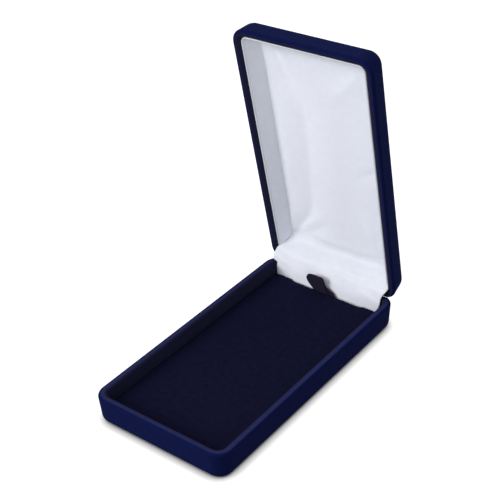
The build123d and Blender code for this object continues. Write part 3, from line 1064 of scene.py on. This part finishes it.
class MEDALCASE_OT_lining(bpy.types.Operator):
    """Makes the satin over the padded lid panel, which runs on as the web over the hinge"""

    bl_idname = "medal_case.lining"
    bl_label = "Panel and web satin"

    def execute(self, context):
        sizes = context.scene.medal_case_sizes
        crown = sizes.panel_crown / MM
        fold = sizes.fold_depth / MM
        # The satin of the web, which has no wadding behind it, is greyed as painted shade, lighter
        # again towards the foot, by the distance in mm from the panel's front end
        start = PANEL_FRONT - PANEL_BACK - 4.5
        stops = ((start, 1.0), (start + 5, 0.8), (start + 13, 0.82), (start + 22, 0.94))
        cloth = acetate_satin("acetate_satin_white_padded", "Y", stops)
        rows = lining_rows(crown, fold)
        satin = cloth_from_rows("lid_panel_and_web_satin", rows, cloth, SATIN_THICKNESS * MM)
        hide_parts("lid_panel_satin", "satin_web")
        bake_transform(satin)
        return {"FINISHED"}


# Rows and columns of the panel's wadding, and in mm how much lower its crown is than the satin's,
# how far it stays under the satin, and how far its flat back lies below the satin's edge
WADDING_ROWS = 40
WADDING_COLUMNS = 24
WADDING_UNDER_SATIN = 0.45
WADDING_GAP = 0.25
WADDING_BACK = 0.3


class MEDALCASE_OT_wadding(bpy.types.Operator):
    """Makes the wadding of the lid panel, a crowned pad under the satin"""

    bl_idname = "medal_case.wadding"
    bl_label = "Panel wadding"

    def execute(self, context):
        sizes = context.scene.medal_case_sizes
        crown = sizes.panel_crown / MM - WADDING_UNDER_SATIN
        fold = sizes.fold_depth / MM
        # It keeps 1.2 and 0.6 mm from the panel's back and front ends, and 0.5 mm from its sides
        length = PANEL_FRONT - PANEL_BACK - 1.8
        top = []
        under = []
        for k in range(WADDING_ROWS + 1):
            inset = PANEL_BACK + 1.2 + length * k / WADDING_ROWS
            upper = []
            lower = []
            for i in range(WADDING_COLUMNS + 1):
                x = (PANEL_HALF - 0.5) * (2 * i / WADDING_COLUMNS - 1)
                rise = max(panel_height(x, inset, crown, fold) - WADDING_GAP, 0.05)
                border = min(i, WADDING_COLUMNS - i, k, WADDING_ROWS - k)
                rise *= min(border / 2, 1.0)
                upper.append(lid_point(x, inset, PANEL_DEPTH + WADDING_GAP - rise))
                lower.append(lid_point(x, inset, PANEL_DEPTH + WADDING_BACK))
            top.append(upper)
            under.append(lower)
        wadding = cloth_from_rows(
            "lid_wadding",
            top + under[::-1],
            soft_filling("polyester_wadding", "e8e8e4", cell_mm=0.8),
            closed=True,
        )
        close_ends(wadding)
        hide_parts("lid_panel_wadding")
        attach(wadding, "lid")
        return {"FINISHED"}


def close_ends(piece):
    """Caps a closed band's two open sides and makes its faces look outwards."""
    shape = bmesh.new()
    shape.from_mesh(piece.data)
    bmesh.ops.remove_doubles(shape, verts=shape.verts, dist=0.02 * MM)
    open_edges = [edge for edge in shape.edges if len(edge.link_faces) == 1]
    bmesh.ops.holes_fill(shape, edges=open_edges, sides=0)
    bmesh.ops.recalc_face_normals(shape, faces=shape.faces)
    shape.to_mesh(piece.data)
    shape.free()


class MEDALCASE_OT_walls(bpy.types.Operator):
    """Makes the satin that lines the lid's three walls and turns over at the rim"""

    bl_idname = "medal_case.walls"
    bl_label = "Wall satin"

    def execute(self, context):
        # Over the turned edge at the rim the satin is darkened as painted shade
        cloth = acetate_satin("acetate_satin_white_glued", "X", ((1.25, 0.74), (1.7, 1.0)))
        walls = cloth_from_rows("lid_wall_satin", wall_rows(), cloth)
        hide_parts("lid_wall_satin_left", "lid_wall_satin_right", "lid_wall_satin_front")
        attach(walls, "lid")
        return {"FINISHED"}


class MEDALCASE_OT_pad(bpy.types.Operator):
    """Makes the pad's velour cover and the foam under it"""

    bl_idname = "medal_case.pad"
    bl_label = "Pad"

    def execute(self, context):
        crown = context.scene.medal_case_sizes.pad_crown / MM
        foam = cloth_from_rows(
            "pad_foam_layer",
            pad_sheet_rows(
                inset=0.45, top=PAD_TOP - 0.42, round_off=0.7, crown=crown, under=PAD_UNDER + 1.4
            ),
            soft_filling("polyether_foam", "d8d4c4", cell_mm=0.5),
        )
        close_ends(foam)
        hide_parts("pad_foam")
        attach(foam, "pad")
        cover = cloth_from_rows(
            "pad_velour",
            pad_sheet_rows(
                inset=0.0, top=PAD_TOP, round_off=0.9, crown=crown, under=PAD_UNDER
            ),
            cotton_velour(),
            VELOUR_THICKNESS * MM,
        )
        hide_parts("pad_cover")
        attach(cover, "pad")
        return {"FINISHED"}


class MEDALCASE_OT_ribbon(bpy.types.Operator):
    """Makes the folded ribbon that the pad is lifted by"""

    bl_idname = "medal_case.ribbon"
    bl_label = "Ribbon tab"

    def execute(self, context):
        ply = context.scene.medal_case_sizes.ribbon_thickness
        ribbon = cloth_from_rows("ribbon_loop", ribbon_rows(), ribbed_ribbon(), ply)
        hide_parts("ribbon_tab")
        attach(ribbon, "pad")
        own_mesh(ribbon)
        return {"FINISHED"}


class MEDALCASE_OT_stage(bpy.types.Operator):
    """Sets up the floor, the soft lights and the camera"""

    bl_idname = "medal_case.stage"
    bl_label = "Stage"

    def execute(self, context):
        scene = context.scene
        make_floor(scene)
        make_world(scene)
        make_lamps(scene)
        make_camera(scene)
        scene.view_settings.view_transform = "Standard"
        return {"FINISHED"}


# Half width of the floor, in metres
FLOOR_HALF = 6


def seen_directly(tree):
    """1 for rays from the camera, a gloss or a clear piece, and 0 for light falling on things."""
    path = add_node(tree, "ShaderNodeLightPath")
    seen = path.outputs["Is Camera Ray"]
    for ray in ("Is Glossy Ray", "Is Transmission Ray"):
        seen = two_values(tree, "MAXIMUM", seen, path.outputs[ray])
    return seen


def make_floor(scene):
    """A plain white floor that keeps the object's shadow and is pure white elsewhere."""
    mesh = bpy.data.meshes.new("floor")
    ways = ((-1, -1), (1, -1), (1, 1), (-1, 1))
    corners = [(x * FLOOR_HALF, y * FLOOR_HALF, 0) for x, y in ways]
    mesh.from_pydata(corners, [], [(0, 1, 2, 3)])
    floor = bpy.data.objects.new("floor", mesh)
    scene.collection.objects.link(floor)
    material, tree = start_material("white_floor")
    # The lift fades where the object stands on the floor, which keeps its contact shadow
    contact = add_node(
        tree, "ShaderNodeAmbientOcclusion", {"Distance": 5 * MM}, samples=12, only_local=False
    )
    clear = map_range(tree, contact.outputs["AO"], (0.25, 0.85))
    strength = two_values(tree, "MULTIPLY", seen_directly(tree), clear)
    plain = add_node(
        tree, "ShaderNodeBsdfDiffuse", {"Color": opaque(linear("7c7c7c")), "Roughness": 0.0}
    )
    lift = add_node(tree, "ShaderNodeEmission", {"Color": WHITE, "Strength": strength})
    both = add_node(tree, "ShaderNodeAddShader", {0: plain.outputs[0], 1: lift.outputs[0]})
    finish_material(tree, both)
    mesh.materials.append(material)


def make_world(scene):
    """An even pale surround, white where it is seen directly or in a gloss."""
    world = bpy.data.worlds.new("studio")
    world.use_nodes = True
    tree = world.node_tree
    tree.nodes.clear()
    strength = map_range(tree, seen_directly(tree), (0.0, 1.0), (0.42, 1.0))
    light = add_node(tree, "ShaderNodeBackground", {"Color": WHITE, "Strength": strength})
    add_node(tree, "ShaderNodeOutputWorld", {"Surface": light.outputs[0]})
    scene.world = world


# Height that the lamps aim at, in metres
LAMP_AIM = 0.04


def make_lamps(scene):
    """A wide soft lamp at the front left, and weaker ones at the front right and behind the lid."""
    # Name, place and size in metres, and power in watts
    lamps = (
        ("key", (-0.85, -1.29, 0.8), 1.0, 25.7),
        ("fill", (1.1, -1.1, 0.4), 1.2, 6.8),
        ("top", (0.15, 0.8, 1.1), 1.3, 7.0),
    )
    for name, place, size, power in lamps:
        data = bpy.data.lights.new(name, "AREA")
        data.shape = "DISK"
        data.size = size
        data.energy = power
        lamp = bpy.data.objects.new(name, data)
        lamp.location = place
        aim = Vector((0, 0, LAMP_AIM)) - lamp.location
        lamp.rotation_euler = aim.to_track_quat("-Z", "Y").to_euler()
        scene.collection.objects.link(lamp)


# The camera, as the case's outlines in the picture give it: its azimuth, elevation and roll in
# degrees, the point that it looks at and its distance from it in mm, and its focal length in
# pixels of a picture 500 pixels wide
CAMERA_ANGLES = (38.945, 32.642, -3.082)
CAMERA_TARGET = (-5.671, 9.554, 48.171)
CAMERA_DISTANCE = 431.95
FOCAL_PIXELS = 1139.585
PICTURE_PIXELS = 500
SENSOR_WIDTH = 36


def make_camera(scene):
    """The camera, from the front right and above."""
    azimuth, elevation, roll = (math.radians(angle) for angle in CAMERA_ANGLES)
    target = Vector(CAMERA_TARGET) * MM
    back = Vector(
        (
            math.sin(azimuth) * math.cos(elevation),
            -math.cos(azimuth) * math.cos(elevation),
            math.sin(elevation),
        )
    )
    right = (-back).cross(Vector((0, 0, 1))).normalized()
    up = right.cross(-back)
    rolled_right = right * math.cos(roll) + up * math.sin(roll)
    rolled_up = up * math.cos(roll) - right * math.sin(roll)
    data = bpy.data.cameras.new("camera")
    data.sensor_width = SENSOR_WIDTH
    data.lens = SENSOR_WIDTH * FOCAL_PIXELS / PICTURE_PIXELS
    data.clip_start = 0.01
    data.clip_end = 50
    camera = bpy.data.objects.new("camera", data)
    axes = Matrix((rolled_right, rolled_up, back)).transposed().to_4x4()
    camera.matrix_world = Matrix.Translation(target + back * CAMERA_DISTANCE * MM) @ axes
    scene.collection.objects.link(camera)
    scene.camera = camera


class MEDALCASE_PT_sidebar(bpy.types.Panel):
    """Lists the sizes, the colours and the steps that make the case"""

    bl_idname = "MEDALCASE_PT_sidebar"
    bl_label = "Medal Case"
    bl_space_type = "VIEW_3D"
    bl_region_type = "UI"
    bl_category = "Medal Case"

    def draw(self, context):
        for group in (context.scene.medal_case_sizes, context.scene.medal_case_colours):
            box = self.layout.box()
            for name in group.__annotations__:
                box.prop(group, name)
        for cls in CLASSES:
            if issubclass(cls, bpy.types.Operator):
                self.layout.operator(cls.bl_idname)


CLASSES = (
    MedalCaseSizes,
    MedalCaseColours,
    MEDALCASE_OT_shells,
    MEDALCASE_OT_hinge,
    MEDALCASE_OT_boards,
    MEDALCASE_OT_wadding,
    MEDALCASE_OT_lining,
    MEDALCASE_OT_walls,
    MEDALCASE_OT_pad,
    MEDALCASE_OT_ribbon,
    MEDALCASE_OT_stage,
    MEDALCASE_PT_sidebar,
)


def register():
    """Registers the classes and hangs the two groups on the scene."""
    for cls in CLASSES:
        bpy.utils.register_class(cls)
    bpy.types.Scene.medal_case_sizes = PointerProperty(type=MedalCaseSizes)
    bpy.types.Scene.medal_case_colours = PointerProperty(type=MedalCaseColours)


def unregister():
    """Takes the groups and classes away again."""
    del bpy.types.Scene.medal_case_colours
    del bpy.types.Scene.medal_case_sizes
    for cls in reversed(CLASSES):
        bpy.utils.unregister_class(cls)


def main():
    register()
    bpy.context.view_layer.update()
    bpy.ops.medal_case.shells()
    bpy.ops.medal_case.hinge()
    bpy.ops.medal_case.boards()
    bpy.ops.medal_case.wadding()
    bpy.ops.medal_case.lining()
    bpy.ops.medal_case.walls()
    bpy.ops.medal_case.pad()
    bpy.ops.medal_case.ribbon()
    bpy.ops.medal_case.stage()


if __name__ == "__main__":
    main()
